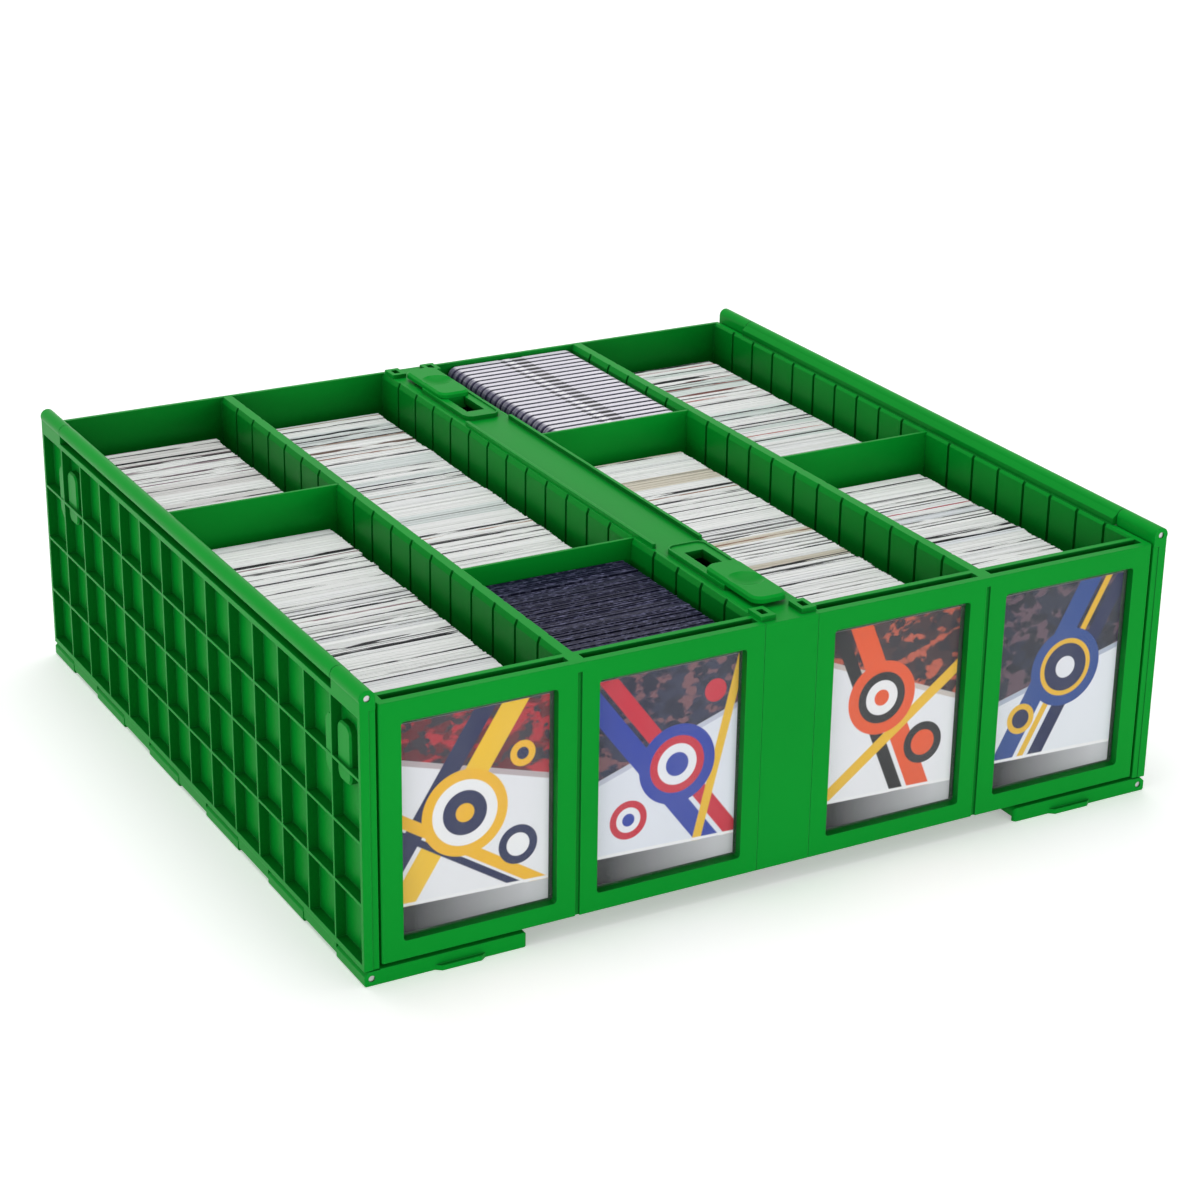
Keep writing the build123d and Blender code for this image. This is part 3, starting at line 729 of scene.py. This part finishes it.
# each card: a pale field, a mottled corner beyond a slanting edge with a rail along it,
# stripes (paint, direction, start, end), discs (paint, centre, radius) and a grey strip
# at the foot
cardDesigns = {
    "display_card_1": {
        "field": rgb(242, 243, 247), "seed": 3,
        "mottle": (rgb(104, 30, 42), rgb(182, 38, 54), rgb(50, 42, 56)),
        "slant": (0.30, 1), "horizon": 74, "rail": rgb(190, 178, 182),
        "stripes": (
            (rgb(28, 38, 84), (0.84, -0.54), -22, -14),
            (rgb(246, 200, 44), (0.84, -0.54), -12, -2),
            (rgb(28, 38, 84), (0.55, 0.84), 34, 37),
            (rgb(246, 190, 34), (0.55, 0.84), 38, 43),
        ),
        "discs": (
            (rgb(246, 190, 34), (27, 46), 18.5), (rgb(246, 247, 249), (27, 46), 14.0),
            (rgb(28, 38, 84), (27, 46), 9.5), (rgb(246, 190, 34), (27, 46), 4.0),
            (rgb(28, 38, 84), (50, 27), 8.5), (rgb(246, 247, 249), (50, 27), 5.0),
            (rgb(246, 190, 34), (52, 66), 5.5), (rgb(28, 38, 84), (52, 66), 2.6),
        ),
    },
    "display_card_2": {
        "field": rgb(234, 238, 247), "seed": 11,
        "mottle": (rgb(44, 48, 76), rgb(124, 84, 92), rgb(24, 28, 56)),
        "slant": (-0.34, 1), "horizon": 46, "rail": rgb(198, 202, 218),
        "stripes": (
            (rgb(36, 62, 168), (0.80, 0.60), 42, 51),
            (rgb(206, 36, 60), (0.80, 0.60), 53, 60),
            (rgb(238, 192, 48), (0.97, -0.24), 40, 44),
        ),
        "discs": (
            (rgb(36, 62, 168), (36, 46), 17.5), (rgb(206, 36, 60), (36, 46), 12.5),
            (rgb(240, 242, 248), (36, 46), 9.0), (rgb(36, 62, 168), (36, 46), 5.2),
            (rgb(206, 36, 60), (14, 26), 8.5), (rgb(240, 242, 248), (14, 26), 5.5),
            (rgb(36, 62, 168), (14, 26), 2.8), (rgb(206, 36, 60), (53, 75), 5.0),
        ),
    },
    "display_card_3": {
        "field": rgb(242, 243, 247), "seed": 17,
        "mottle": (rgb(60, 40, 46), rgb(190, 92, 70), rgb(34, 28, 40)),
        "slant": (0.42, 1), "horizon": 76, "rail": rgb(206, 196, 190),
        "stripes": (
            (rgb(26, 26, 30), (0.92, 0.38), 34, 40),
            (rgb(236, 90, 36), (0.92, 0.38), 42, 52),
            (rgb(240, 192, 44), (0.60, -0.80), -14, -9),
        ),
        "discs": (
            (rgb(236, 90, 36), (26, 55), 16.5), (rgb(26, 26, 30), (26, 55), 11.5),
            (rgb(244, 244, 246), (26, 55), 7.8), (rgb(236, 90, 36), (26, 55), 3.6),
            (rgb(26, 26, 30), (48, 30), 9.5), (rgb(236, 90, 36), (48, 30), 5.8),
        ),
    },
    "display_card_4": {
        "field": rgb(236, 240, 246), "seed": 23,
        "mottle": (rgb(30, 36, 60), rgb(96, 74, 88), rgb(16, 20, 40)),
        "slant": (-0.26, 1), "horizon": 40, "rail": rgb(180, 190, 208),
        "stripes": (
            (rgb(36, 74, 146), (0.88, -0.47), -6, 4),
            (rgb(236, 188, 44), (0.88, -0.47), 6, 9),
            (rgb(22, 34, 80), (0.88, -0.47), 11, 18),
        ),
        "discs": (
            (rgb(36, 74, 146), (36, 50), 18.0), (rgb(236, 188, 44), (36, 50), 13.2),
            (rgb(22, 34, 80), (36, 50), 11.0), (rgb(236, 238, 244), (36, 50), 5.0),
            (rgb(236, 188, 44), (14, 30), 7.0), (rgb(22, 34, 80), (14, 30), 4.4),
        ),
    },
}


def along(tree, u, v, direction):
    first = addMath(tree, "MULTIPLY", u, direction[0])
    return addMath(tree, "MULTIPLY_ADD", v, direction[1], first)


def fromCentre(tree, u, v, centre):
    x = addMath(tree, "SUBTRACT", u, centre[0])
    y = addMath(tree, "SUBTRACT", v, centre[1])
    squares = addMath(tree, "ADD", addMath(tree, "POWER", x, 2), addMath(tree, "POWER", y, 2))
    return addMath(tree, "SQRT", squares)


def printedCard(node, design, s):
    low, high = (Vector(corner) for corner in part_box(node))
    material, tree, shader = newMaterial(node + "_print")
    x, y, z = objectAxes(tree)
    u = addMath(tree, "MULTIPLY", addMath(tree, "SUBTRACT", x, low.x), 1 / mm)
    v = addMath(tree, "MULTIPLY", addMath(tree, "SUBTRACT", z, low.z), 1 / mm)

    base, blot, dark = design["mottle"]
    seed, horizon = design["seed"], design["horizon"]
    higher = addRange(tree, v, 0, s["height"], 0, 0.10)
    field = addMix(tree, higher, design["field"], s["fieldShade"])
    spots = addNoise(tree, mappedCoords(tree, s["spotStretch"], (seed, 0, seed)), 1.0, 2)
    corner = addMix(tree, softStep(tree, spots, 0.53, 0.05), base, blot)
    specks = addNoise(tree, mappedCoords(tree, s["speckStretch"], (0, 0, seed)), 1.0, 2)
    corner = addMix(tree, softStep(tree, specks, 0.55, 0.05), corner, dark)
    slope = along(tree, u, v, design["slant"])
    colour = addMix(tree, softStep(tree, slope, horizon, 0.6), field, corner)
    rail = between(tree, slope, horizon - s["railWidth"], horizon)
    colour = addMix(tree, rail, colour, design["rail"])

    for paint, direction, start, end in design["stripes"]:
        stripe = between(tree, along(tree, u, v, direction), start, end)
        colour = addMix(tree, stripe, colour, paint)
    for paint, centre, radius in design["discs"]:
        outside = softStep(tree, fromCentre(tree, u, v, centre), radius, 0.3)
        disc = addMath(tree, "SUBTRACT", 1.0, outside)
        colour = addMix(tree, disc, colour, paint)

    foot = addMath(tree, "MULTIPLY_ADD", u, s["stripLean"], v)
    greys = addMix(tree, addRange(tree, u, *s["stripFade"], 0, 1), *s["stripGreys"])
    strip = addMath(tree, "SUBTRACT", 1.0, softStep(tree, foot, s["stripHeight"]))
    line = between(tree, foot, s["stripHeight"], s["stripHeight"] + s["lineWidth"])
    colour = addMix(tree, line, addMix(tree, strip, colour, greys), s["rimWhite"])

    behind = softStep(tree, y, (low.y + high.y) / 2, s["backFade"])
    colour = addMix(tree, behind, colour, s["backPaper"])
    grit = addNoise(tree, mappedCoords(tree, s["gritStretch"]), 1.0, 2)
    colour = addMix(tree, addRange(tree, grit, 0.3, 0.7, 0, 0.03), colour, s["grit"])
    tree.links.new(colour, shader.inputs["Base Color"])
    rough = addRange(tree, grit, 0.3, 0.7, s["roughness"] - 0.05, s["roughness"] + 0.05)
    tree.links.new(rough, shader.inputs["Roughness"])
    shader.inputs["Coat Weight"].default_value = s["coat"]
    shader.inputs["Specular IOR Level"].default_value = s["specular"]
    nodes[node].data.materials.clear()
    nodes[node].data.materials.append(material)


clearSleeve = {
    "haze": (0.85, 0.88, 0.90, 1),
    "alpha": 0.03,
    "edgeAlpha": 0.3,
    "edgeBlend": 0.35,
    "edgePower": 3.0,
    "smears": (60, 60, 25),
    "roughness": 0.12,
    "specular": 0.15,
}


def sleeveMaterial(s):
    material, tree, shader = newMaterial("clearSleeve")
    shader.inputs["Base Color"].default_value = s["haze"]
    shader.inputs["Specular IOR Level"].default_value = s["specular"]
    facing = tree.nodes.new("ShaderNodeLayerWeight")
    facing.inputs["Blend"].default_value = s["edgeBlend"]
    smears = addNoise(tree, mappedCoords(tree, s["smears"]), 1.0, 3)
    base = addRange(tree, smears, 0.3, 0.7, s["alpha"] * 0.7, s["alpha"] * 1.3)
    grazing = addMath(tree, "POWER", facing.outputs["Facing"], s["edgePower"])
    rim = addMath(tree, "MULTIPLY", grazing, s["edgeAlpha"])
    tree.links.new(addMath(tree, "ADD", base, rim, clamp=True), shader.inputs["Alpha"])
    rough = addRange(tree, smears, 0.3, 0.7, s["roughness"] - 0.04, s["roughness"] + 0.08)
    tree.links.new(rough, shader.inputs["Roughness"])
    return material


# build everything

makeCamera(viewSettings)
makeStudio(studio)
print("camera and studio made")

surfaceGroup = mouldedSurface(surfaceSettings)
greenMaterial = mouldedMaterial("greenPlastic", surfaceGroup, greenPlastic)
pinMaterial = steelMaterial(steelRod)
for name, piece in nodes.items():
    piece.data.materials.clear()
    piece.data.materials.append(pinMaterial if name.endswith("pin") else greenMaterial)
print("green plastic and steel assigned")

for node, looks in stackLooks.items():
    looseCards(node, looks, cardStock)
print("loose cards made")

sleevedCards("cards_row_2_front", darkSleeves)
holders("holders_row_3_rear", rigidHolders)
print("sleeved cards and rigid holders made")

sleevePlastic = sleeveMaterial(clearSleeve)
for node, design in cardDesigns.items():
    printedCard(node, design, cardFace)
    sleeve = nodes[node.replace("card", "sleeve")]
    sleeve.data.materials.clear()
    sleeve.data.materials.append(sleevePlastic)
print("display cards printed")
